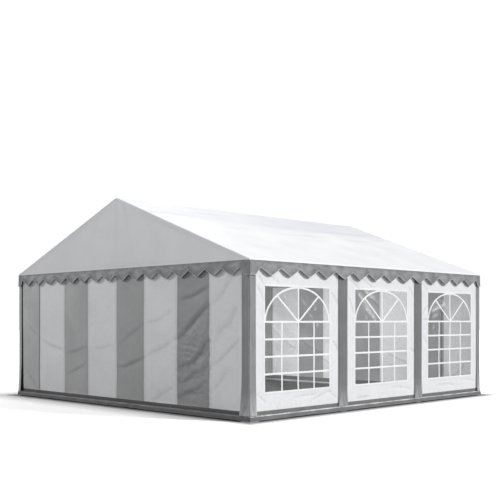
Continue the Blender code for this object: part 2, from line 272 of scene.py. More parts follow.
for name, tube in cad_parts.items():
    if name.startswith(STEEL_NODES):
        for holder in tube.material_slots:
            holder.material = steel

# Spring buttons: small pressed steel domes that lock each tube on its plug. They sit in the inner side of the
# posts, a hand above the plates and below the eaves.
POST_LINE = 2.9524
POST_ROWS = (-POST_LINE, -1.0, 1.0, POST_LINE)
TUBE_RADIUS = 0.025
BUTTON_RADIUS = 0.0055
BUTTON_RISE = 0.8 * BUTTON_RADIUS
BUTTON_SINK = 0.0006
BUTTON_HEIGHTS = (0.095, 2.085)


def corners(values):
    """The values at the four corners of each cell of a grid, anticlockwise."""
    return np.stack([values[:-1, :-1], values[:-1, 1:], values[1:, 1:], values[1:, :-1]], axis=2)


def domes(centres, ways):
    """Half balls on a wall, ring by ring. A point is its centre, plus a spoke times radius and cosine of the
    rise, plus the way out of the wall times height and sine of the rise."""
    rise = np.linspace(0, math.pi / 2, 5)[:-1, None, None, None]
    turn = np.linspace(0, 2 * math.pi, 13)[:-1, None, None]
    up = np.array([0.0, 0.0, 1.0])
    spokes = np.cos(turn) * np.cross(up, ways) + np.sin(turn) * up
    return centres + BUTTON_RADIUS * np.cos(rise) * spokes + BUTTON_RISE * np.sin(rise) * ways


centres = np.array([(x, y, z) for x in (-POST_LINE, POST_LINE) for y in POST_ROWS for z in BUTTON_HEIGHTS])
ways = -np.sign(centres[:, :1]) * np.array([1.0, 0.0, 0.0])
centres = centres + ways * (TUBE_RADIUS - BUTTON_SINK)
rings = domes(centres, ways)
index = np.arange(rings[..., 0].size).reshape(rings.shape[:3])
closed = np.pad(index, ((0, 0), (0, 1), (0, 0)), mode="wrap")
walls = np.moveaxis(corners(closed), 2, -1).reshape(-1, 4)
tips = np.broadcast_to(index.size + np.arange(len(centres)), index[-1].shape)
crowns = np.stack([closed[-1, :-1], closed[-1, 1:], tips], axis=-1).reshape(-1, 3)
button_points = np.concatenate([rings.reshape(-1, 3), centres + BUTTON_RISE * ways])
button_faces = walls.tolist() + crowns.tolist() + index[0, ::-1].T.tolist()
buttons = new_piece("spring_buttons", button_points, button_faces, [steel])
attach(buttons, "root")

# Roof cloth: one white sheet of coated polyester over the ridge and down to both eaves, where its hem turns
# down. A wider middle strip is welded on along the ridge, and the cloth sags a little between the rafters.
SIDE = 6.0
HALF = SIDE / 2
GIRTH = 4 * SIDE
RIDGE_TOP = 3.32
EAVE_TOP = 2.20
PITCH = math.atan2(RIDGE_TOP - EAVE_TOP, HALF)
SLOPE = HALF / math.cos(PITCH)
CLOTH = 0.0012
LAP = 0.0012
LAP_EDGE = 0.004
HOLLOW_DEPTH = 0.0016
RIDGE_ROUND = 0.012
EDGE_ROUND = 0.006
RAKE_TURN = 0.012
EAVE_TURN = 0.012
RIDGE_STRIP = 1.20
STRIP_FADE = 0.35
WELD_WIDTH = 0.024
ROOF_SAG = 0.008
RIDGE_FOLDS = 0.0032
SLOPE_FOLDS = 0.0020
ROOF_STEP = 0.05
WHITE = (0.825, 0.828, 0.843)
WHITE_SHADE = (0.77, 0.775, 0.795)


def ease(value):
    """0 below 0, 1 above 1, and a smooth step between."""
    value = np.clip(value, 0.0, 1.0)
    return value * value * (3 - 2 * value)


def spaced(stops, step):
    """Places from the first stop to the last, no more than a step apart, that meet every stop."""
    runs = [np.linspace(a, b, max(2, math.ceil((b - a) / step) + 1))[:-1] for a, b in zip(stops, stops[1:])]
    return np.concatenate(runs + [[stops[-1]]])


def grid(up, across):
    """Two whole arrays from the places of the rows and of the columns."""
    return np.meshgrid(up, across, indexing="ij")


def stacked(*parts):
    """Whole arrays put together as the coordinates of places."""
    return np.stack(np.broadcast_arrays(*parts), axis=-1)


def swell(across, along, wide, long, seed):
    """Smooth random heights from about -1 to 1: seeded values on a lattice, eased from point to point."""
    lattice = np.random.default_rng(seed).uniform(-1, 1, (64, 64))
    a, b = across / wide, along / long
    i, j = np.floor(a).astype(int), np.floor(b).astype(int)
    f, g = ease(a - i), ease(b - j)
    near, far = [lattice[i % 64, k % 64] * (1 - f) + lattice[(i + 1) % 64, k % 64] * f for k in (j, j + 1)]
    return near * (1 - g) + far * g


def crumple(across, along, turn, wide, long, seed):
    """Fine wrinkles from 0 to 1: sharp crests where two warped random heights cross 0, drawn out one way."""
    a = across * math.cos(turn) + along * math.sin(turn)
    b = along * math.cos(turn) - across * math.sin(turn)
    a = a + 0.5 * wide * swell(across, along, 2.0 * wide, 2.0 * wide, seed + 1)
    return (1 - np.abs(swell(a, b, wide, long, seed))) ** 4


def creases(across, along, lines, seed=0):
    """Height of folds. Each is a line from start to end, of that width and depth. The cloth drops over the
    width on the right of the line and comes back slowly on its left. The line wanders, and its depth goes
    down to 0 at both ends."""
    height = np.zeros(np.broadcast(across, along).shape)
    for number, (start_a, start_b, end_a, end_b, width, depth) in enumerate(lines):
        run_a, run_b = end_a - start_a, end_b - start_b
        length = math.hypot(run_a, run_b)
        share = ((across - start_a) * run_a + (along - start_b) * run_b) / length ** 2
        off = ((across - start_a) * run_b - (along - start_b) * run_a) / length
        arch = np.sin(math.pi * np.clip(share, 0, 1))
        wander = swell(share * length, share * 0 + 0.37, 0.20, 1.0, seed + number)
        off = off + 0.030 * length * arch + 0.4 * width * wander
        drop = ease(1 - off / width) * np.exp(-np.maximum(-off, 0) / (2.4 * width))
        height = height - depth * drop * arch ** 0.8
    return height


def hollows(relief):
    """How deep each point lies below the cloth round it, from 0 to 1: the height averaged over neighbours,
    less the height itself."""
    mean = relief
    for _ in range(3):
        padded = np.pad(mean, 1, mode="edge")
        mean = (padded[:-2, 1:-1] + padded[2:, 1:-1] + padded[1:-1, :-2] + padded[1:-1, 2:]) / 4
    return np.clip((mean - relief) / HOLLOW_DEPTH, 0.0, 1.0)


def add_mark(piece, name, values):
    """Gives each point of a piece a value that its material reads as an attribute."""
    mark = piece.data.attributes.new(name, "FLOAT", "POINT")
    mark.data.foreach_set("value", values.ravel().astype(np.float32))


def sheet_piece(name, points, flat, finishes, relief=None, keep=None, zones=None, thickness=CLOTH):
    """A piece of cloth from a grid of points, with rows upwards and columns to the right as seen from
    outside. Quads join neighbouring points where keep is true, and a last column that is the first again is
    joined to it. flat is each point's place on the flat cloth. The hollows of the relief become an attribute,
    and zones picks each quad's finish. Cut edges are sharp, and Solidify gives the thickness inwards."""
    rows, columns = points.shape[:2]
    index = np.arange(rows * columns).reshape(rows, columns)
    if np.allclose(points[:, 0], points[:, -1]):
        index[:, -1] = index[:, 0]
    kept = np.ones((rows - 1, columns - 1), bool) if keep is None else keep
    used, faces = np.unique(corners(index)[kept], return_inverse=True)
    piece = new_piece(name, points.reshape(-1, 3)[used], faces.reshape(-1, 4).tolist(), finishes,
                      places=corners(flat)[kept])
    mesh = piece.data
    if relief is not None:
        add_mark(piece, "hollow", hollows(relief).ravel()[used])
    if zones is not None:
        mesh.polygons.foreach_set("material_index", zones[kept].astype(np.int32))
    edge_numbers = np.empty(len(mesh.loops), np.int32)
    mesh.loops.foreach_get("edge_index", edge_numbers)
    cut_edges = np.bincount(edge_numbers, minlength=len(mesh.edges)) == 1
    mesh.edges.foreach_set("use_edge_sharp", cut_edges)
    wall = piece.modifiers.new("cloth_thickness", "SOLIDIFY")
    wall.thickness = thickness
    wall.offset = -1.0
    return piece


# Coated weave: the threads of the base cloth as they show through the coating, over and under
weave, given, result = shader_group("coated_weave", {"Place": "Vector", "Threads": "Float"}, ("Height",))
waves = [(given["Place"].part(axis) * given["Threads"] * math.pi).math("SINE") for axis in (0, 1)]
connect(result, {"Height": (waves[0] * waves[1]).between(0.0, 1.0, -1.0, 1.0)})

# Packing creases: fine crinkles left in the coating by folding and handling, at two sizes
packing, given, result = shader_group("packing_creases", {"Place": "Vector", "Size": "Float"}, ("Height",))
warp = given["Place"].noise(3.0, 2.0, output="Color")
shifted = node(packing, "VectorMath", {0: given["Place"], 1: warp}, operation="ADD")[0]
crinkles = [shifted.noise(given["Size"] * factor, 1.5).near(0.5, 0.0, 0.09) for factor in (1.0, 2.7)]
connect(result, {"Height": crinkles[0] * 0.65 + crinkles[1]})


HOLLOW_SHADE = (0.05, 0.05, 0.055)
DUST = (0.42, 0.40, 0.36)
THREADS = 900.0
THREAD_DEPTH = 0.00012


def cloth_finish(name, colour, shade, satin=0.46, crinkle=0.0005, dust_reach=0.45, dust_share=0.3, patch=1.7):
    """Coated cloth. colour and shade are colours, or functions that give them for a flat place. It has a
    cloudy tone, painted shade in the hollows of folds, dust near the ground, a weave and packing creases in
    the coating, and a satin shine that varies."""
    made, tree, shader = new_finish(name)
    where = node(tree, "TexCoord", {})
    patches = use_group(tree, clouds, {"Place": where["Object"], "Patches": patch})
    tone, darker = [value(where["UV"]) if callable(value) else value for value in (colour, shade)]
    tone = (patches["Broad"] * 0.8).blend(tone, darker)
    tone = (patches["Fine"] * 0.3).blend(tone, darker)
    # Painted shade: the hollows of folds are darkened towards a near-black grey
    deep = node(tree, "Attribute", {}, attribute_name="hollow")["Fac"]
    tone = (deep * 0.45).blend(tone, blend_colours(tree, 0.45, darker, HOLLOW_SHADE))
    dust = use_group(tree, splash, {"Place": where["Object"], "Reach": dust_reach})["Dust"]
    threads = use_group(tree, weave, {"Place": where["UV"], "Threads": THREADS})[0]
    crinkles = use_group(tree, packing, {"Place": where["Object"], "Size": 5.0})[0]
    under = node(tree, "Bump", {"Height": crinkles, "Distance": crinkle, "Strength": 0.8})[0]
    top = node(tree, "Bump", {"Height": threads, "Distance": THREAD_DEPTH, "Strength": 0.5,
                              "Normal": under})[0]
    connect(shader, {
        "Base Color": (dust * dust_share).blend(tone, DUST), "Normal": top,
        "Roughness": patches["Fine"].between(satin - 0.06, satin + 0.08) + dust * 0.25,
        "Sheen Weight": 0.05, "IOR": 1.46})
    return made


def roof_white(flat_place):
    """White, a touch cooler and darker over the ridge strip, and greyer along its weld."""
    over = abs(flat_place.part(0))
    strip = over.between(1.0, 0.0, RIDGE_STRIP - STRIP_FADE, RIDGE_STRIP)
    weld = over.near(RIDGE_STRIP, WELD_WIDTH / 2, WELD_WIDTH / 2 + 0.003)
    tone = strip.blend((0.935, 0.937, 0.95), (0.745, 0.757, 0.805))
    return (weld * 0.3).blend(tone, (0.76, 0.77, 0.80))


white_roof = cloth_finish("white_roof_cloth", roof_white, (0.83, 0.835, 0.865), crinkle=0.0004,
                          dust_share=0.0)
white_cloth = cloth_finish("white_cloth", WHITE, WHITE_SHADE)


def roof_place(over, along):
    """Points of the roof. over is the distance on the cloth from the ridge, right side positive, and along is
    the place on the ridge line. Past an eave the cloth turns down on an arc, and past a rake it does too."""
    away = np.abs(over)
    flat_part = np.minimum(away, SLOPE - EDGE_ROUND)
    past = away - flat_part
    arc = PITCH + np.minimum(past / EDGE_ROUND, math.pi / 2 - PITCH)
    x = flat_part * math.cos(PITCH) + EDGE_ROUND * (np.sin(arc) - math.sin(PITCH))
    z = RIDGE_TOP - math.sin(PITCH) * np.sqrt(flat_part ** 2 + RIDGE_ROUND ** 2)
    z = z - EDGE_ROUND * (math.cos(PITCH) - np.cos(arc))
    z = z - np.maximum(past - EDGE_ROUND * (math.pi / 2 - PITCH), 0.0)
    straight = np.clip(along, EDGE_ROUND - HALF, HALF - EDGE_ROUND)
    beyond = np.abs(along - straight)
    arc = np.minimum(beyond / EDGE_ROUND, math.pi / 2)
    y = straight + np.sign(along) * EDGE_ROUND * np.sin(arc)
    z = z - EDGE_ROUND * (1 - np.cos(arc)) - np.maximum(beyond - EDGE_ROUND * math.pi / 2, 0.0)
    return np.sign(over) * x, y, z


def roof_relief(over, along):
    """Height of the cloth off its plane: a sag in each bay, long soft folds beside the ridge and a weld."""
    away = np.abs(over)
    bays = np.interp(along, POST_ROWS, (0.0, 1.0, 2.0, 3.0))
    down = np.sin(math.pi * np.clip(away / SLOPE, 0, 1)) ** 0.8
    sag = -ROOF_SAG * np.sin(math.pi * (bays % 1.0)) ** 2 * down
    upper = ease((1.75 - away) / 0.5) * ease((away - 0.06) / 0.15)
    lower = ease((SLOPE - away) / 0.3) * ease(away / 0.2)
    drift = over + 0.10 * along
    folds = RIDGE_FOLDS * swell(drift, along, 0.17, 1.5, 4) * upper
    folds = folds + SLOPE_FOLDS * swell(drift + 5, along, 0.33, 1.1, 5) * lower
    weld = LAP * ease((RIDGE_STRIP + WELD_WIDTH / 2 - away) / LAP_EDGE)
    to_rake = HALF - np.abs(along)
    return (sag + folds) * ease(to_rake / 0.12) + weld * ease(to_rake / 0.02)


rim = SLOPE + EAVE_TURN
weld_end = RIDGE_STRIP + WELD_WIDTH / 2
half_over = spaced([0.0, weld_end - WELD_WIDTH, weld_end - LAP_EDGE, weld_end, SLOPE - EDGE_ROUND, SLOPE,
                    rim], ROOF_STEP)
half_along = [HALF - 0.05, HALF - EDGE_ROUND, HALF, HALF + RAKE_TURN]
over, along = grid(np.concatenate([half_over[::-1], -half_over[1:]]),
                   spaced([-stop for stop in half_along[::-1]] + half_along, ROOF_STEP)[::-1])
relief = roof_relief(over, along)
on_slope = relief * ease((SLOPE - np.abs(over)) / 0.02)
x, y, z = roof_place(over, along)
roof_points = stacked(x + on_slope * math.sin(PITCH) * np.sign(over), y, z + on_slope * math.cos(PITCH))
roof = sheet_piece("roof_cloth", roof_points, stacked(over, along), [white_roof], relief=relief)
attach(roof, "root")
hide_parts("roof_cover")

# Roof gables: the plain triangle at each end, cut from the same white cloth and sewn to the roof's rake. It
# hangs nearly flat, with soft pulls that run down from the peak.
GABLE_STEP = 0.045
GABLE_ROWS = 26
GABLE_FOOT = 2.178
GABLE_SET_BACK = 0.0022
GABLE_SINK = 0.0020
PULL_RISE = 0.6
UNDER_ROOF = 0.003


def triangle_relief(across, up):
    """Height of the pulls: random swells that run out and down from above the peak, and wide ones."""
    turn = np.arctan2(across, RIDGE_TOP + PULL_RISE - up)
    return 0.0008 * swell(turn, up, 0.13, 0.9, 11) + 0.0012 * swell(across, up, 0.70, 0.40, 12) - GABLE_SINK


share_up, share_across = grid(np.linspace(0, 1, GABLE_ROWS), np.linspace(-1, 1, int(SIDE / GABLE_STEP) + 1))
across = share_across * (HALF - UNDER_ROOF)
from_ridge = np.sqrt((across / math.cos(PITCH)) ** 2 + RIDGE_ROUND ** 2)
crown = RIDGE_TOP - math.sin(PITCH) * from_ridge - UNDER_ROOF
up = GABLE_FOOT + share_up * (crown - GABLE_FOOT)
hold = ease((1 - np.abs(share_across)) / 0.05) * ease((crown - up) / 0.08) * ease((up - GABLE_FOOT) / 0.05)
out = triangle_relief(across, up) * hold
for end, sign, truss in (("front", -1, 1), ("back", 1, 4)):
    points = stacked(-sign * across, sign * (HALF - GABLE_SET_BACK + out), up)
    piece = sheet_piece(f"roof_gable_cloth_{end}", points, stacked(across, up), [white_cloth], relief=out)
    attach(piece, "root")
    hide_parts("roof_cover")

# Valance: a grey band welded under the roof's hem on all four sides, cut to a zigzag with a wide flat tongue
# at each corner. It stands off the walls and puckers, and a pale binding is stitched along its lower edge.
VALANCE_TOP = 2.191
NOTCH = 2.094
POINT = 1.991
WAVES = (15, 17, 15, 17)
TONGUE = 0.095
CORNER_TURN = 0.014
BAND_STEPS = 20
BAND_ROWS = 10
LEAN = 0.014
ROLL = 0.011
CURL = 0.011
PUCKERS = ((0.0046, 0.12, 0.70), (0.0012, 0.055, 0.45))
PLUMP = 0.004
GREY = (0.345, 0.348, 0.355)
GREY_SHADE = (0.13, 0.133, 0.14)
BINDING_HALF_WIDTH = 0.0045
BINDING_HALF_THICKNESS = 0.0020
BINDING_SIDES = 8
BINDING_STEP = 0.0025
STITCH = 0.0035


def swells(across, along, layers, seed):
    """Sum of smooth random heights. Each layer is a height, a width and a length, with a seed of its own."""
    return sum(height * swell(across, along, wide, long, seed + number)
               for number, (height, wide, long) in enumerate(layers))


def on_side(distance):
    """The number of the side that a distance round the tent falls on, the way along that side, and the length
    of the valance's waves there."""
    lap = np.floor(distance / SIDE)
    side = lap.astype(int) % 4
    return side, distance - SIDE * lap, SIDE / np.array(WAVES)[side]


def round_the_tent(distance, out):
    """Places and outward directions on a line round the tent. distance is in metres from the front right
    corner, by the right side first. Each side is straight, and turns on an arc at its ends."""
    side, along_side, _ = on_side(distance)
    local = along_side - HALF
    straight = np.clip(local, CORNER_TURN - HALF, HALF - CORNER_TURN)
    turn = ((local - straight) / CORNER_TURN * math.pi / 4)[..., None]
    across = np.array([[1, 0], [0, 1], [-1, 0], [0, -1]])[side]
    along = np.array([[0, 1], [-1, 0], [0, -1], [1, 0]])[side]
    way = np.cos(turn) * across + np.sin(turn) * along
    middle = (HALF - CORNER_TURN) * across + straight[..., None] * along
    return middle + (CORNER_TURN + out)[..., None] * way, way


def zigzag(distance):
    """Height of the lower edge. It is a point at phase 0 and a notch at one half, straight between them with
    rounded points, and level on the tongue at each corner."""
    _, along_side, wave = on_side(distance)
    from_corner = np.minimum(along_side, SIDE - along_side)
    from_tongue = 0.5 * ease((from_corner - TONGUE) / (wave / 2 - TONGUE)) ** 0.8
    phase = np.where(from_corner < wave / 2, from_tongue, along_side / wave % 1.0)
    toward_point = np.abs(2 * phase - 1)
    return NOTCH + (POINT - NOTCH) * (0.45 * toward_point + 0.55 * np.sin(math.pi / 2 * toward_point))


def valance_out(distance, down):
    """How far the band stands out. It leans off the wall towards its edge, each point rolls out below the hem
    and back in towards its tip, one edge of each point curls out more than the other, and it puckers."""
    side, along_side, wave = on_side(distance)
    point = (NOTCH - zigzag(distance)) / (NOTCH - POINT)
    turned = np.where(side % 2 == 0, -1.0, 1.0) * np.sin(2 * math.pi * along_side / wave)
    clear = ease((np.minimum(along_side, SIDE - along_side) - 0.05) / 0.15)
    lean = CLOTH + LEAN * down ** 1.2 * (0.35 + 0.65 * clear)
    strength = 0.6 + 0.5 * swell(distance, down, 0.5, 3.0, 23)
    roll = ROLL * point * strength * np.sin(math.pi * np.clip(1.15 * down, 0, 1.15))
    pucker = swells(distance, down, PUCKERS, 21)
    return lean + (CURL * turned * down ** 2 + (roll + pucker + PLUMP) * ease(down / 0.60)) * clear


grey_band = cloth_finish("grey_valance_cloth", GREY, GREY_SHADE, satin=0.55, crinkle=0.0012, dust_share=0.0,
                         patch=6.0)
round_run = [SIDE * side + np.linspace(0, SIDE, BAND_STEPS * waves + 1)[:-1]
             for side, waves in enumerate(WAVES)]
round_run += [(SIDE * side + np.linspace(-0.018, 0.018, 13)) % GIRTH for side in range(4)]
round_run = np.concatenate([np.unique(np.round(np.concatenate(round_run), 6)), [GIRTH]])
share_up, distance = grid(np.linspace(0, 1, BAND_ROWS), round_run)
place = distance % GIRTH
edge_height = zigzag(place)
high = edge_height + share_up * (VALANCE_TOP - edge_height)
out = valance_out(place, 1 - share_up)
places, ways = round_the_tent(place, out)
band_points = np.concatenate([places, high[..., None]], axis=-1)
band = sheet_piece("valance_cloth", band_points, stacked(distance, high), [grey_band], relief=out)


def tape_round(path, way):
    """Rings of an oval tape carried along a closed path, as rows. Its width lies in the cloth's plane, across
    the path, and its thickness along the outward direction way."""
    ahead = np.roll(path, -1, axis=0) - np.roll(path, 1, axis=0)
    ahead = ahead / np.linalg.norm(ahead, axis=1)[:, None]
    turn = np.linspace(0, 2 * math.pi, BINDING_SIDES + 1)[:-1, None]
    return (path[:, None] + BINDING_HALF_WIDTH * np.cos(turn) * np.cross(way, ahead)[:, None]
            + BINDING_HALF_THICKNESS * np.sin(turn) * way[:, None])


def binding_grey(flat_place):
    """Pale grey with a darker dash for each stitch."""
    stitch = flat_place.part(0).math("PINGPONG", STITCH)
    return stitch.between(0.0, 0.35, 0.001, 0.0025).blend((0.72, 0.72, 0.74), (0.36, 0.36, 0.38))


pale_binding = cloth_finish("pale_binding_tape", binding_grey, (0.50, 0.50, 0.52), crinkle=0.0004,
                            dust_share=0.0)
edge_way = np.pad(ways[0, :-1], ((0, 0), (0, 1)))
rings = tape_round(band_points[0, :-1] - edge_way * CLOTH / 2, edge_way)
index = np.pad(np.arange(rings[..., 0].size).reshape(rings.shape[:2]), ((0, 1), (0, 1)), mode="wrap")
tape_place = stacked(*grid(round_run, BINDING_STEP * np.arange(BINDING_SIDES + 1)))
binding = new_piece("valance_binding", rings, corners(index).reshape(-1, 4).tolist(), [pale_binding],
                    places=corners(tape_place))
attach(binding, "root")
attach(band, "root")
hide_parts("valance")

# Gable curtains: broad white and grey cloths welded edge to edge, hung from the gable beam. The foot is a
# grey hem tucked behind the ground flap. One end is free beside the corner and leaves a slit, and tension
# folds run down from the other end.
WALL_FACE = 2.9827
WALL_FOOT = 0.030
HEM_TOP = 0.132
CURTAIN_TOP = 2.150
CURTAIN_CLOSED = 2.965
CURTAIN_FREE = 2.862
FREE_SLACK = 0.026
WHITE_STRIPE = 0.791
STRIPE_PAIR = 1.488
BACK_STRIPE_START = 3.025
CURTAIN_STEP = 0.022
WELD_LAP = 0.042
SEAM = -2.305
SEAM_DEPTH = 0.004
CURTAIN_SWELL = 0.0050
CURTAIN_RIPPLE = 0.0016
FINE_WRINKLES = (-0.6, 0.075, 0.22)
SMALL_WRINKLES = (1.2, 0.050, 0.14)
STRIPE_GREY = (0.345, 0.347, 0.353)
STRIPE_GREY_SHADE = (0.275, 0.278, 0.285)
STRIPE_GREY_FAR_END = (0.62, 0.622, 0.626)
FAR_END_SHADE = (0.46, 0.462, 0.468)
FAR_END_WHITE = (0.92, 0.922, 0.935)
HIDDEN_WHITE = (0.90, 0.902, 0.915)
FRONT_FOLDS = (
    (2.20, 1.87, 1.52, 1.66, 0.050, 0.011), (2.20, 1.62, 1.42, 1.06, 0.085, 0.022),
    (2.22, 1.12, 1.80, 0.72, 0.100, 0.022), (1.96, 0.84, 1.42, 0.62, 0.060, 0.013),
    (2.20, 0.78, 1.44, 0.40, 0.070, 0.012), (2.14, 0.52, 1.44, 0.20, 0.060, 0.010),
    (2.72, 2.00, 2.16, 1.52, 0.110, 0.006), (2.86, 1.62, 2.16, 1.00, 0.120, 0.007),
    (2.66, 0.74, 2.20, 0.30, 0.110, 0.006), (1.50, 1.12, 0.60, 0.80, 0.090, 0.006),
    (1.46, 0.42, 0.80, 0.12, 0.100, 0.007), (0.74, 0.82, -0.04, 0.60, 0.060, 0.011),
    (0.70, 1.33, 0.02, 1.00, 0.060, 0.005), (-0.80, 0.96, -1.50, 0.80, 0.040, 0.005),
    (-0.80, 0.68, -1.46, 0.44, 0.045, 0.006), (-1.42, 0.85, -2.32, 1.08, 0.045, 0.005),
    (-2.30, 0.12, -2.86, 0.62, 0.022, 0.007), (-2.30, 1.10, -2.80, 1.33, 0.030, 0.004),
    (1.52, 1.02, 1.98, 0.96, 0.016, 0.005), (1.50, 0.93, 2.02, 0.86, 0.016, 0.005),
    (1.54, 0.84, 1.94, 0.80, 0.015, 0.004), (2.08, 0.60, 1.50, 0.52, 0.016, 0.004),
    (2.12, 0.36, 1.50, 0.32, 0.018, 0.004), (-0.02, 0.98, -0.70, 0.92, 0.040, 0.003),
    (1.40, 1.52, 0.70, 1.30, 0.060, 0.004), (2.86, 1.20, 2.20, 0.70, 0.060, 0.005))
BACK_FOLDS = (
    (-0.04, 2.04, -0.80, 1.40, 0.050, 0.011), (-0.30, 2.04, -0.80, 1.60, 0.040, 0.007),
    (-2.27, 1.70, -1.74, 1.50, 0.045, 0.009), (-2.27, 1.56, -1.76, 1.40, 0.040, 0.007),
    (2.80, 1.70, 2.10, 1.05, 0.080, 0.012), (2.20, 1.20, 1.50, 0.72, 0.080, 0.016),
    (1.50, 1.00, 0.70, 0.66, 0.070, 0.010), (0.90, 0.60, 0.10, 0.34, 0.060, 0.009),
    (-0.80, 0.80, -1.50, 0.52, 0.050, 0.008), (-2.24, 0.20, -2.82, 0.66, 0.022, 0.007))


def curtain_relief(across, up, folds, seed):
    """Height of a curtain off its plane: its folds, wide swells, wrinkles that are finest beside the first
    corner, and the groove of one seam. It is held flat at the beam, at the hem and near its two ends."""
    hold = ease((2.13 - up) / 0.10) * ease((up - 0.085) / 0.12)
    ends = ease((CURTAIN_CLOSED - 0.14 - across) / 0.10)
    free = ease((-CURTAIN_FREE + 0.24 - across) / 0.10)
    wide = CURTAIN_SWELL * swell(across, up, 0.75, 0.62, seed)
    wide = wide + CURTAIN_RIPPLE * swell(across + 0.5 * up, up, 0.26, 0.55, seed + 1)
    rough = 0.25 + ease((across - 1.30) / 0.25) * ease((2.35 - across) / 0.25) * ease((1.5 - up) / 0.4)
    fine = 0.0040 * crumple(across, up, *FINE_WRINKLES, seed + 2)
    fine = fine * ease(swell(across, up, 0.5, 0.4, seed + 5) + 0.4)
    small = 0.0026 * crumple(across, up, *SMALL_WRINKLES, seed + 8)
    groove = -SEAM_DEPTH * np.exp(-((across - SEAM) / 0.010) ** 2)
    cloth = creases(across, up, folds, seed + 20) + wide + (fine + small) * rough + groove
    return (cloth * (1 - 0.7 * free) + 0.004 * free) * hold * ends + LAP * ease((HEM_TOP - up) / LAP_EDGE)


def in_hem(up):
    """True for each quad of a wall that starts below the top of its hem, which is a row of points."""
    return up[:-1, :-1] < HEM_TOP - LAP_EDGE / 4


def striped(whites, greys, seam_shadow_run):
    """Colour that changes from white to grey at each weld across the curtain. Each goes from its first tone
    to its second with the distance from the closed end. The cloths lap at the welds, which are greyer, and a
    painted shadow line runs up at seam_shadow_run, close to the seam's groove."""
    def colour(flat_place):
        run = flat_place.part(0)
        place = run % STRIPE_PAIR
        toward_far_end = run.between(0.0, 1.0, 0.8, 5.8)
        tone = (place > WHITE_STRIPE).blend(toward_far_end.blend(*whites), toward_far_end.blend(*greys))
        from_weld = run.math("PINGPONG", STRIPE_PAIR / 2).math("MINIMUM", abs(place - WHITE_STRIPE))
        lap = from_weld.between(0.0935, 0.0, WELD_LAP, WELD_LAP + 0.004)
        lap_edge = from_weld.near(WELD_LAP, 0.003, 0.006) * 0.066
        tone = (lap + lap_edge).blend(tone, (0.16, 0.16, 0.17))
        tone = from_weld.between(0.25, 0.0, 0.006, 0.010).blend(tone, (0.30, 0.30, 0.31))
        # Painted shadow: a dark line up the curtain close to the seam's groove
        return (run.near(seam_shadow_run, 0.008, 0.012) * 0.75).blend(tone, (0.05, 0.05, 0.055))
    return colour


STRIPE_TONES = {
    "front": (((WHITE, FAR_END_WHITE), (STRIPE_GREY, STRIPE_GREY_FAR_END)),
              ((WHITE_SHADE, WHITE), (STRIPE_GREY_SHADE, FAR_END_SHADE))),
    "back": (((HIDDEN_WHITE, HIDDEN_WHITE), (STRIPE_GREY, STRIPE_GREY)),
             ((WHITE, WHITE), (STRIPE_GREY_SHADE, STRIPE_GREY_SHADE)))}
# Painted shade: the gables' hem is a much darker copy of the panels' grey hem
shaded_hem = cloth_finish("shaded_hem_cloth", (0.078, 0.080, 0.084), (0.05, 0.052, 0.055), satin=0.45,
                        dust_share=0.12, patch=5.0)
stops = spaced([-CURTAIN_FREE, SEAM - 0.03, SEAM, SEAM + 0.03, CURTAIN_CLOSED], CURTAIN_STEP)
stops = np.unique(np.concatenate([stops, SEAM + np.array([-0.012, -0.006, 0.006, 0.012])]))
up, across = grid(spaced([WALL_FOOT, HEM_TOP - LAP_EDGE, HEM_TOP, CURTAIN_TOP], CURTAIN_STEP), stops)
for end, sign, folds, seed, run, seam_shadow_run in (
        ("front", 1, FRONT_FOLDS, 31, CURTAIN_CLOSED - across, CURTAIN_CLOSED - SEAM),
        ("back", -1, BACK_FOLDS, 51, BACK_STRIPE_START + across, BACK_STRIPE_START - 2.19)):
    tones, shades = STRIPE_TONES[end]
    striped_cloth = cloth_finish(f"striped_cloth_{end}", striped(*tones, seam_shadow_run), striped(*shades, seam_shadow_run),
                                 crinkle=0.0006)
    out = curtain_relief(across, up, folds, seed)
    slack = FREE_SLACK * (1 - up / CURTAIN_TOP) ** 1.5 + 0.004 * swell(up, across, 0.3, 9.0, seed)
    drawn = across + ease((-CURTAIN_FREE + 0.35 - across) / 0.35) * slack
    piece = sheet_piece(f"gable_curtain_{end}", stacked(sign * drawn, -sign * (WALL_FACE + out), up),
                        stacked(run, up), [striped_cloth, shaded_hem], relief=out, zones=in_hem(up))
    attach(piece, "root")
    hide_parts(f"gable_wall_{end}")

# Slit shade sheets: a black strip of cloth behind the slit at the free end of each curtain, as painted shade.
# It hangs from the gable beam beside the corner post and shows as a dark line in the slit, where the inside
# is in shade.
SLIT_SHADE_FACE = 2.9792
SLIT_SHADE_RUN = (2.812, 2.958)
SLIT_SHADE_TOP = 2.13
SLIT_SHADE_FOOT = 0.082
SLIT_SHADE_STEPS = (0.04, 0.03)
SLIT_SHADE_CLOTH = 0.0010
SLIT_SHADE_RIPPLE = 0.0006

# Painted shade: a black sheet that stands for the shaded inside seen through the slit
slit_shade_cloth = cloth_finish("painted_shade_slit_cloth", (0.022, 0.022, 0.024), (0.014, 0.014, 0.015), satin=0.55,
                           dust_share=0.15)
up, across = grid(spaced([SLIT_SHADE_FOOT, SLIT_SHADE_TOP], SLIT_SHADE_STEPS[0]),
                  spaced([-SLIT_SHADE_RUN[1], -SLIT_SHADE_RUN[0]], SLIT_SHADE_STEPS[1]))
out = SLIT_SHADE_RIPPLE * swell(across, up, 0.09, 0.35, 61)
for end, sign in (("front", 1), ("back", -1)):
    points = stacked(sign * across, -sign * (SLIT_SHADE_FACE + out), up)
    piece = sheet_piece(f"slit_shade_sheet_{end}", points, stacked(across, up), [slit_shade_cloth], relief=out,
                        thickness=SLIT_SHADE_CLOTH)
    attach(piece, "root")

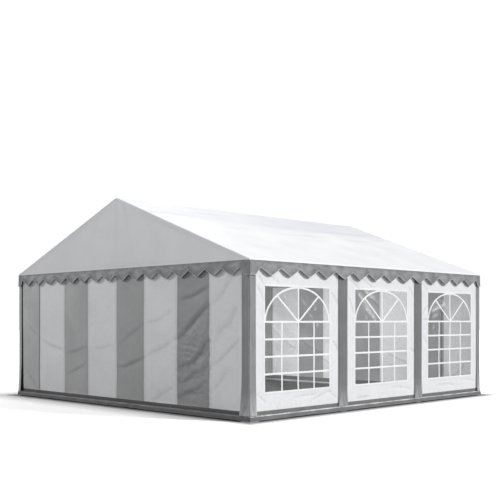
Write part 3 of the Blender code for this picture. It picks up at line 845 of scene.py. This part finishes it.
# Window panels: one white cloth in each bay of the long sides, hung from the eave tube and laced to the posts
# under the grey covers. The opening has a double border welded round it, and the pull of the lacing leaves
# small creases beside it. The foot is a grey hem.
PANEL_STEP = 0.022
PANEL_TOP = 2.1754
PANEL_END = 2.970
PANEL_SPLIT = 0.003
BAY = 2.0
LONG_SIDES = (("right", 1), ("left", -1))
OPENING_HALF = 0.689
OPENING_FOOT = 0.387
OPENING_TOP = 1.841
OPENING_HEIGHT = OPENING_TOP - OPENING_FOOT
OPENING_MIDDLE = (OPENING_TOP + OPENING_FOOT) / 2
BORDER = 0.026
PANEL_SWELLS = ((0.0032, 0.55, 0.70), (0.0008, 0.20, 0.26))
PANEL_WRINKLES = (0.8, 0.060, 0.16)
CROSS_WRINKLES = (-0.7, 0.045, 0.11)
PANEL_FOLDS = {
    1: ((-0.88, 2.02, -0.66, 1.80, 0.020, 0.008), (-0.86, 1.86, -0.70, 1.62, 0.018, 0.006),
        (-0.80, 2.06, -0.40, 1.88, 0.022, 0.005), (0.74, 1.08, 0.92, 0.86, 0.018, 0.009),
        (0.72, 1.80, 0.92, 1.56, 0.018, 0.005), (-0.88, 0.38, -0.66, 0.22, 0.020, 0.006),
        (-0.14, 0.27, 0.46, 0.29, 0.022, 0.005), (0.24, 0.20, 0.80, 0.33, 0.025, 0.006),
        (0.60, 0.33, 0.90, 0.20, 0.020, 0.006)),
    2: ((-0.88, 2.02, -0.54, 1.80, 0.024, 0.013), (-0.60, 2.03, -0.20, 1.85, 0.020, 0.008),
        (-0.86, 1.75, -0.72, 1.45, 0.018, 0.005), (0.74, 0.92, 0.92, 0.82, 0.016, 0.007),
        (-0.70, 0.16, -0.28, 0.18, 0.020, 0.007), (0.20, 0.30, 0.85, 0.22, 0.025, 0.005),
        (0.70, 1.95, 0.90, 1.75, 0.018, 0.005)),
    3: ((-0.88, 1.42, -0.66, 1.66, 0.016, 0.009), (-0.88, 1.39, -0.64, 1.36, 0.014, 0.007),
        (-0.90, 2.03, -0.66, 1.82, 0.018, 0.006), (-0.86, 1.10, -0.70, 0.95, 0.016, 0.005),
        (0.72, 1.95, 0.92, 1.70, 0.018, 0.004), (-0.50, 0.25, 0.30, 0.21, 0.024, 0.005),
        (0.30, 0.33, 0.85, 0.26, 0.022, 0.004))}


def panel_relief(across, up, folds, seed):
    """Height of a panel off its plane. across is from the middle of its bay. Folds, wide swells and fine
    wrinkles, held flat under the covers, at the eave tube and at the hem."""
    hold = ease((0.905 - np.abs(across)) / 0.05) * ease((up - 0.085) / 0.08) * ease((2.15 - up) / 0.06)
    wide = swells(across, up, PANEL_SWELLS, seed)
    edge = np.maximum(np.abs(across) / OPENING_HALF, np.abs(up - OPENING_MIDDLE) / (OPENING_HEIGHT / 2))
    fine = 0.0012 * crumple(across, up, *PANEL_WRINKLES, seed + 2)
    fine = fine + 0.0008 * crumple(across, up, *CROSS_WRINKLES, seed + 4)
    return (creases(across, up, folds, seed + 20) + wide + fine * ease((edge - 0.98) / 0.1)) * hold


def from_opening(across, up):
    """Distance outside the edge of the opening, negative inside it."""
    return np.maximum(np.abs(across) - OPENING_HALF, np.maximum(up - OPENING_TOP, OPENING_FOOT - up))


def panel_white(flat_place):
    """White, a touch brighter on the double border round the opening."""
    beside = abs(flat_place.part(0)) - OPENING_HALF
    above = abs(flat_place.part(1) - OPENING_MIDDLE) - OPENING_HEIGHT / 2
    border = beside.math("MAXIMUM", above).between(1.0, 0.0, BORDER - 0.001, BORDER)
    return border.blend(WHITE, (0.95, 0.95, 0.95))


grey_hem = cloth_finish("grey_hem_cloth", (0.165, 0.172, 0.175), (0.115, 0.12, 0.123), satin=0.40, patch=5.0)
panel_cloth = cloth_finish("window_panel_cloth", panel_white, (0.78, 0.785, 0.81))
bays = [(side, sign, bay, BAY * (bay - 2), 2 + sign * (bay - 2), 91 - 20 * sign + 10 * bay)
        for side, sign in LONG_SIDES for bay in (1, 2, 3)]
frames = [OPENING_HALF, OPENING_HALF + BORDER, OPENING_HALF + BORDER + LAP_EDGE]
up_stops = spaced([WALL_FOOT, HEM_TOP - LAP_EDGE, HEM_TOP, OPENING_FOOT - BORDER - LAP_EDGE,
                   OPENING_FOOT - BORDER, OPENING_FOOT, OPENING_TOP, OPENING_TOP + BORDER,
                   OPENING_TOP + BORDER + LAP_EDGE, PANEL_TOP], PANEL_STEP)
for side, sign, bay, centre, kind, seed in bays:
    low = max(-BAY / 2 + PANEL_SPLIT, -PANEL_END - sign * centre)
    high = min(BAY / 2 - PANEL_SPLIT, PANEL_END - sign * centre)
    across_stops = [low] + [-value for value in frames[::-1]] + frames + [high]
    up, across = grid(up_stops, spaced(across_stops, PANEL_STEP))
    out = panel_relief(across, up, PANEL_FOLDS[kind], seed)
    out = out + LAP * ease((BORDER + LAP_EDGE - from_opening(across, up)) / LAP_EDGE)
    out = out + LAP * ease((HEM_TOP - up) / LAP_EDGE)
    round_opening = from_opening(corners(across).mean(axis=2), corners(up).mean(axis=2)) > 0
    points = stacked(sign * (WALL_FACE + out), centre + sign * across, up)
    piece = sheet_piece(f"window_panel_{side}_{bay}", points, stacked(across, up), [panel_cloth, grey_hem],
                        relief=out, keep=round_opening, zones=in_hem(up))
    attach(piece, "root")
    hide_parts(f"window_wall_{side}_{bay}")
    flat = (high - low, PANEL_TOP - WALL_FOOT)
    flat[0] * flat[1] - 2 * OPENING_HALF * OPENING_HEIGHT

# Window foil: soft clear foil welded behind each opening. It ripples between its edges and is dented along
# fold lines, where pale lines and flecks are painted highlights. White bars of cloth tape are welded on it: a
# round arch with two spokes and a centre bar over a level bar, and small panes below.
FOIL_OVERLAP = 0.030
FOIL_STEP = 0.018
FOIL = 0.0006
FOIL_BACK = 0.0022
BAR_HALF = 0.0135
BAR_RISE = 0.0012
BAR_OVERLAP = 0.01
ARCH_INSET = 0.006
SPRING_LINE = 1.349
SPOKE_TURN = math.radians(49)
PANE_ROWS = (1.1085, 0.868, 0.6275)
MARK_DEPTH = 0.003
GLINT_HAZE = 0.62
FOIL_RIPPLES = ((0.0030, 0.30, 0.34), (0.0022, 0.12, 0.15))
FOIL_DENTS = (0.5, 0.09, 0.16)
FOIL_SINK = 0.001
FOIL_GLINT_FOLDS = {
    1: ((0.33, 1.52, 0.40, 1.51, 0.016, 0.5), (0.40, 1.31, 0.46, 1.29, 0.018, 0.5),
        (0.18, 1.50, 0.32, 1.38, 0.012, 0.3), (-0.30, 1.66, -0.24, 1.68, 0.016, 0.5),
        (-0.50, 1.46, -0.46, 1.44, 0.018, 0.4), (0.02, 1.70, 0.20, 1.52, 0.010, 0.3)),
    2: ((-0.67, 1.81, -0.33, 1.50, 0.018, 0.75), (-0.50, 1.60, -0.12, 1.32, 0.026, 0.80),
        (-0.49, 1.84, -0.26, 1.70, 0.018, 0.80), (-0.32, 1.75, -0.10, 1.64, 0.016, 0.50),
        (-0.56, 1.81, -0.61, 1.75, 0.012, 0.40), (-0.30, 1.62, -0.26, 1.60, 0.014, 0.40),
        (-0.45, 1.42, -0.38, 1.38, 0.016, 0.30)),
    3: ((-0.66, 1.48, -0.10, 1.62, 0.022, 0.75), (-0.62, 1.40, -0.30, 1.46, 0.020, 0.35),
        (-0.24, 1.60, -0.14, 1.68, 0.022, 0.70), (-0.50, 1.72, -0.36, 1.60, 0.014, 0.35),
        (-0.56, 1.24, -0.46, 1.22, 0.016, 0.30))}


def glint_folds(across, up, kind, seed):
    """Strength of the fold lines, from 0 to about 1: the foil dents along them, and its finish paints
    highlights on them.
    """
    return -creases(across, up, FOIL_GLINT_FOLDS[kind], seed + 60)


def foil_relief(across, up, kind, seed):
    """Height of the foil: it goes with its panel at the edges and ripples on its own inside them."""
    inside = ease(-from_opening(across, up) / 0.12)
    dents = 0.0026 * crumple(across, up, *FOIL_DENTS, seed + 7) * ease((up - 0.9) / 0.6)
    dents = dents - MARK_DEPTH * glint_folds(across, up, kind, seed)
    loose = swells(across, up, FOIL_RIPPLES, seed + 5) + dents - FOIL_SINK
    return panel_relief(across, up, PANEL_FOLDS[kind], seed) - FOIL_BACK + loose * inside


foil_finish, tree, shader = new_finish("clear_window_foil")
spot = node(tree, "TexCoord", {})["Object"]
patches = use_group(tree, clouds, {"Place": spot, "Patches": 5.0})
crinkles = use_group(tree, packing, {"Place": spot, "Size": 6.0})[0]
glinting = node(tree, "Attribute", {}, attribute_name="glint_fold")["Fac"]
broken = spot.noise(24.0, 3.0).between(0.3, 1.0, 0.35, 0.60)
haze_and_glints = patches["Broad"] * patches["Broad"] * patches["Fine"] * 0.07 + crinkles * 0.022
# Painted highlights: the fold lines and short flecks are made more opaque, so they show pale
haze_and_glints = haze_and_glints + glinting * broken * GLINT_HAZE
connect(shader, {
    "Base Color": patches["Broad"].blend((0.84, 0.85, 0.86), (0.93, 0.93, 0.94)),
    "Alpha": haze_and_glints.math("ADD", 0.03, clamp=True), "Roughness": patches["Fine"].between(0.06, 0.20),
    "Normal": node(tree, "Bump", {"Height": crinkles, "Distance": 0.001, "Strength": 0.3})[0],
    "Specular IOR Level": 0.8})
bar_cloth = cloth_finish("window_bar_tape", (0.93, 0.93, 0.93), (0.88, 0.88, 0.885), dust_share=0.0)


def bar_paths():
    """The middle lines of the bars on a pane, as (across, up) points: levels, uprights, spokes and the arch,
    which is half an oval from the ends of the level bar to the top edge."""
    rise, wide = OPENING_TOP - SPRING_LINE, OPENING_HALF
    level = np.linspace(-wide - BAR_OVERLAP, wide + BAR_OVERLAP, 41)
    tall = np.linspace(OPENING_FOOT - BAR_OVERLAP, OPENING_TOP + BAR_OVERLAP, 45)
    short = np.linspace(OPENING_FOOT - BAR_OVERLAP, SPRING_LINE, 31)
    turn = np.linspace(0, math.pi, 61)
    reach = np.linspace(0, 1, 19)
    paths = [stacked(level, row) for row in (SPRING_LINE,) + PANE_ROWS]
    paths += [stacked(0.0, tall), stacked(-wide / 2, short), stacked(wide / 2, short)]
    arch_wide, arch_rise = wide - ARCH_INSET, rise - ARCH_INSET
    paths.append(stacked(arch_wide * np.cos(turn), SPRING_LINE + arch_rise * np.sin(turn)))
    return paths + [stacked(reach * side * wide * math.cos(SPOKE_TURN),
                            SPRING_LINE + reach * rise * math.sin(SPOKE_TURN)) for side in (-1, 1)]


def bar_section(path):
    """A flat bar along a path on the pane: six places round its section at each step, left edge to right edge
    over the top and back underneath, and how far each stands off the foil."""
    ahead = np.gradient(path, axis=0)
    ahead = ahead / np.linalg.norm(ahead, axis=1)[:, None]
    left = stacked(-ahead[:, 1], ahead[:, 0])
    shares = np.array([1.0, 0.88, 0.0, -0.88, -1.0, 0.0]) * BAR_HALF
    rises = np.array([0.15, 1.0, 1.1, 1.0, 0.15, -0.2]) * BAR_RISE
    return path[:, None] + shares[:, None] * left[:, None], rises


for side, sign, bay, centre, kind, seed in bays:
    up, across = grid(spaced([OPENING_FOOT - FOIL_OVERLAP, OPENING_TOP + FOIL_OVERLAP], FOIL_STEP),
                      spaced([-OPENING_HALF - FOIL_OVERLAP, OPENING_HALF + FOIL_OVERLAP], FOIL_STEP))
    out = foil_relief(across, up, kind, seed)
    points = stacked(sign * (WALL_FACE + out), centre + sign * across, up)
    foil = sheet_piece(f"window_foil_{side}_{bay}", points, stacked(across, up), [foil_finish],
                       thickness=FOIL)
    add_mark(foil, "glint_fold", glint_folds(across, up, kind, seed))
    bar_points, bar_places, bar_faces = [], [], []
    for path in bar_paths():
        places, rises = bar_section(path)
        across, up = places[..., 0], places[..., 1]
        out = WALL_FACE + foil_relief(across, up, kind, seed) + rises
        first = sum(len(block) for block in bar_places)
        index = first + np.arange(across.size).reshape(across.shape)
        bar_faces += corners(np.pad(index, ((0, 0), (0, 1)), mode="wrap")).reshape(-1, 4).tolist()
        bar_faces += [index[0][::-1].tolist(), index[-1].tolist()]
        bar_points.append(stacked(sign * out, centre + sign * across, up).reshape(-1, 3))
        bar_places.append(places.reshape(-1, 2))
    bars = new_piece(f"window_bars_{side}_{bay}", np.concatenate(bar_points), bar_faces, [bar_cloth],
                     places=np.concatenate(bar_places)[np.concatenate(bar_faces)], smooth=False)
    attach(bars, "root")
    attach(foil, "root")
    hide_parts(f"window_pane_{side}_{bay}")

# Post covers: a grey strip of cloth over the joint of two panels at each middle post, held at its top under
# the valance. It is slightly crowned, with a turned hem at both edges, and spreads a little at its foot.
COVER_FACE = 2.988
COVER_FOOT = 0.0785
COVER_TOP = 2.150
COVER_HALF = 0.108
COVER_STEP = 0.024
COVER_CROWN = 0.0085
COVER_FLARE = 0.012
COVER_HEM = 0.0010
HEM_STOPS = (-0.89, -0.86, 0.86, 0.89)
PRESSED = 0.0022
PRESSED_WIDTH = 0.09
COVER_RIPPLES = ((0.0022, 0.55, 0.5), (0.0012, 0.3, 0.14))
STRIP_FOLDS = (-0.55, 0.05, 0.50)


def highlight_foot(base, highlight):
    """Grey with a painted highlight at the foot, paler in upright streaks."""
    def colour(flat_place):
        up = flat_place.part(1)
        drawn_out = node(flat_place.tree, "CombineXYZ", {0: flat_place.part(0), 1: up * 0.12})[0]
        streaks = drawn_out.noise(30.0, 3.0).between(0.25, 1.0, 0.42, 0.58)
        # Painted highlight: the foot is paler, in upright streaks
        return (up.between(1.0, 0.0, 0.12, 0.42) * streaks).blend(base, highlight)
    return colour


def cover_finish(name, base, highlight, shade, highlight_shade):
    """The grey cloth of a cover, with the tone and the shade of the painted highlight at its foot."""
    return cloth_finish(name, highlight_foot(base, highlight), highlight_foot(shade, highlight_shade), satin=0.40, crinkle=0.0008,
                        dust_reach=0.20, patch=3.0)


def pressed_folds(share, up, places, seed):
    """Height of upright ridges at places across a strip, left where it was folded for packing."""
    height = np.zeros(share.shape)
    for number, place in enumerate(places):
        line = place + 0.05 * swell(share * 0 + 0.3, up, 1.0, 0.8, seed + number)
        strength = 0.6 + 0.4 * swell(share * 0 + 0.6, up, 1.0, 0.5, seed + 9 + number)
        height = height + PRESSED * strength * np.exp(-((share - line) / PRESSED_WIDTH) ** 2)
    return height


def cover_hem(share):
    """Height of the hem turned at both edges, where share is -1 and 1."""
    return COVER_HEM * ease((np.abs(share) - HEM_STOPS[2]) / (HEM_STOPS[3] - HEM_STOPS[2]))


def cover_relief(share, up, seed):
    """Height of a strip, where share goes across it from -1 to 1: a crown, long soft ripples, folds from
    packing, a hem at each edge and a foot that stands out."""
    ripple = swells(share, up, COVER_RIPPLES, seed)
    pressed = pressed_folds(share, up, STRIP_FOLDS, seed + 3)
    foot = COVER_FLARE * ease((0.34 - up) / 0.30)
    return COVER_CROWN * (1 - share ** 2) + ripple + pressed + cover_hem(share) + foot


grey_cover = cover_finish("grey_cover_cloth", (0.205, 0.208, 0.214), (0.44, 0.44, 0.45),
                          (0.162, 0.165, 0.172), (0.34, 0.34, 0.35))
up_stops = spaced([COVER_FOOT, 0.30, COVER_TOP], COVER_STEP)
up, share = grid(up_stops, np.unique(np.concatenate([np.linspace(-1, 1, 31), HEM_STOPS])))
across = share * COVER_HALF * (1 + 0.05 * ease((0.25 - up) / 0.2))
for side, sign in LONG_SIDES:
    for row, line in ((2, -1.0), (3, 1.0)):
        out = cover_relief(share, up, 201 + 7 * row + (0 if sign > 0 else 31))
        points = stacked(sign * (COVER_FACE + out), line + sign * across, up)
        piece = sheet_piece(f"post_strip_{side}_{row}", points, stacked(share * COVER_HALF, up), [grey_cover],
                            relief=out)
        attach(piece, "root")
        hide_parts(f"post_cover_{side}_{row}")

# Corner covers: a grey strip bent round each corner post, over the ends of the walls. Its foot flares over
# the ground flap, and at two corners the gable flap is short and hangs open beside the slit.
LONG_FLAP = 0.124
BEND_SAVING = 0.0155
FOOT_FLARE = 0.008
LONG_FLARE = 0.006
LONG_PRESS = 1.4
FLAP_SPREAD = 0.014
CORNER_RIPPLES = ((0.0022, 0.7, 0.55), (0.0012, 0.35, 0.15))
CORNER_FOLDS = (-0.85, -0.45, 0.18, 0.50, 0.82)
# A gable flap's width, its flare at the foot, the strength of its folds, and the share it opens out by
TIGHT_FLAP = (0.167, 0.014, 1.4, 0.10)
LOOSE_FLAP = (0.100, 0.024, 0.4, 0.16)


def corner_relief(share, up, seed, gable_flare, gable_press):
    """Height of a corner cover. share is -1 at the gable flap's edge, 0 at the corner and 1 at the other
    edge. Long ripples, folds from packing, edge hems, and a foot that flares out, by gable_flare more on the
    gable flap."""
    ripple = swells(share, up, CORNER_RIPPLES, seed)
    pressed = pressed_folds(share, up, CORNER_FOLDS, seed + 3)
    ripple = ripple + np.where(share < 0, gable_press, LONG_PRESS) * pressed
    flare = gable_flare * ease(-share) + LONG_FLARE * ease(share) + FOOT_FLARE
    flare = flare * ease((0.75 - up) / 0.70) ** 1.6
    spread = FLAP_SPREAD * ease((0.16 - up) / 0.10)
    return 0.002 + ripple * ease(np.abs(share) / 0.2) + cover_hem(share) + flare + spread


corner_cloths = {
    "right": cover_finish("grey_corner_cloth_right", (0.305, 0.307, 0.313), (0.50, 0.50, 0.51),
                          (0.235, 0.238, 0.245), (0.40, 0.40, 0.41)),
    # Painted light: the left corners' grey is a paler copy of the right corners' grey
    "left": cover_finish("painted_light_corner_cloth_left", (0.52, 0.523, 0.53), (0.62, 0.62, 0.63),
                         (0.44, 0.443, 0.45), (0.52, 0.52, 0.53))}
share_stops = np.unique(np.concatenate([np.linspace(-1, 1, 41), np.linspace(-0.2, 0.2, 13), HEM_STOPS]))
up, share = grid(up_stops, share_stops)
for end, side, corner, loose in (("front", "right", 0.0, False), ("front", "left", 3 * SIDE, True),
                                 ("back", "right", SIDE, True), ("back", "left", 2 * SIDE, False)):
    gable_flap, gable_flare, gable_press, opening = LOOSE_FLAP if loose else TIGHT_FLAP
    toward_gable = share if loose else -share
    run = share * np.where(toward_gable > 0, gable_flap, LONG_FLAP)
    out = corner_relief(-toward_gable, up, 301 + 9 * int(corner), gable_flare, gable_press)
    opened = run * (1 + opening * ease((0.5 - up) / 0.45) * ease(toward_gable))
    places, _ = round_the_tent((corner + opened) % GIRTH, COVER_FACE - HALF + out)
    points = stacked(places[..., 0], places[..., 1], up)
    piece = sheet_piece(f"corner_wrap_{end}_{side}", points, stacked(run, up), [corner_cloths[side]])
    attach(piece, "root")
    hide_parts(f"corner_cover_{end}_{side}")
    LONG_FLAP + gable_flap - BEND_SAVING

# Ground flap: a grey strip laid over the ground bars from the foot of the walls, all round. It rolls over the
# bar as a pale lip, drops to the plates and ends in a hem that ripples.
FLAP_PROFILE = ((-0.0170, 0.0785), (-0.0120, 0.0786), (-0.0060, 0.0778), (0.0000, 0.0758), (0.0055, 0.0722),
                (0.0100, 0.0672), (0.0135, 0.0600), (0.0158, 0.0510), (0.0172, 0.0400), (0.0184, 0.0290),
                (0.0198, 0.0190), (0.0212, 0.0125), (0.0222, 0.0090))
FLAP_STEP = 0.022
FLAP_RIPPLES = ((0.0035, 0.16, 3.0), (0.0020, 0.06, 0.8))
FLAP_LIFT = 0.001
FLAP_WAVE = 0.0022
LIP_PLACE = 0.066


def flap_grey(flat_place):
    """Grey, with a painted highlight on the lip over the bar, and painted shade along the gables, where the
    face and the lip are darker.
    """
    along_gable = flat_place.part(0) % (2 * SIDE) > SIDE
    # Painted shade: the face and the lip are darker along the gables, and the lip is a painted highlight
    face = along_gable.blend((0.185, 0.185, 0.192), (0.100, 0.100, 0.106))
    highlight = along_gable.blend((0.92, 0.92, 0.93), (0.36, 0.36, 0.37))
    return flat_place.part(1).near(LIP_PLACE, 0.006, 0.011).blend(face, highlight)


flap_cloth = cloth_finish("grey_flap_cloth", flap_grey, (0.11, 0.11, 0.116), satin=0.52, crinkle=0.0008,
                          dust_share=0.0, patch=4.0)
profile = np.array(FLAP_PROFILE)[::-1]
lengths = np.concatenate([[0.0], np.cumsum(np.linalg.norm(np.diff(profile, axis=0), axis=1))])
round_run = [spaced([0.0, GIRTH], FLAP_STEP)]
round_run += [(corner + np.linspace(-0.03, 0.03, 13)) % GIRTH for corner in SIDE * np.arange(4)]
round_run = np.unique(np.concatenate(round_run))
length, distance = grid(lengths, np.concatenate([round_run[round_run < GIRTH - 1e-6], [GIRTH]]))
place = distance % GIRTH
down = 1 - length / lengths[-1]
along_side = place % SIDE
loose = ease(down) * ease(along_side / 0.25) * ease((SIDE - along_side) / 0.25)
ripple = swells(place, down, FLAP_RIPPLES, 401) + FLAP_LIFT
out = np.interp(length, lengths, profile[:, 0]) + ripple * loose
wave = FLAP_WAVE + FLAP_WAVE * swell(place, down, 0.24, 3.0, 403)
high = np.interp(length, lengths, profile[:, 1]) + wave * loose * down
places, _ = round_the_tent(place, out)
flap = sheet_piece("ground_flap", stacked(places[..., 0], places[..., 1], high), stacked(distance, length),
                   [flap_cloth])
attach(flap, "root")
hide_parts("ground_skirt")
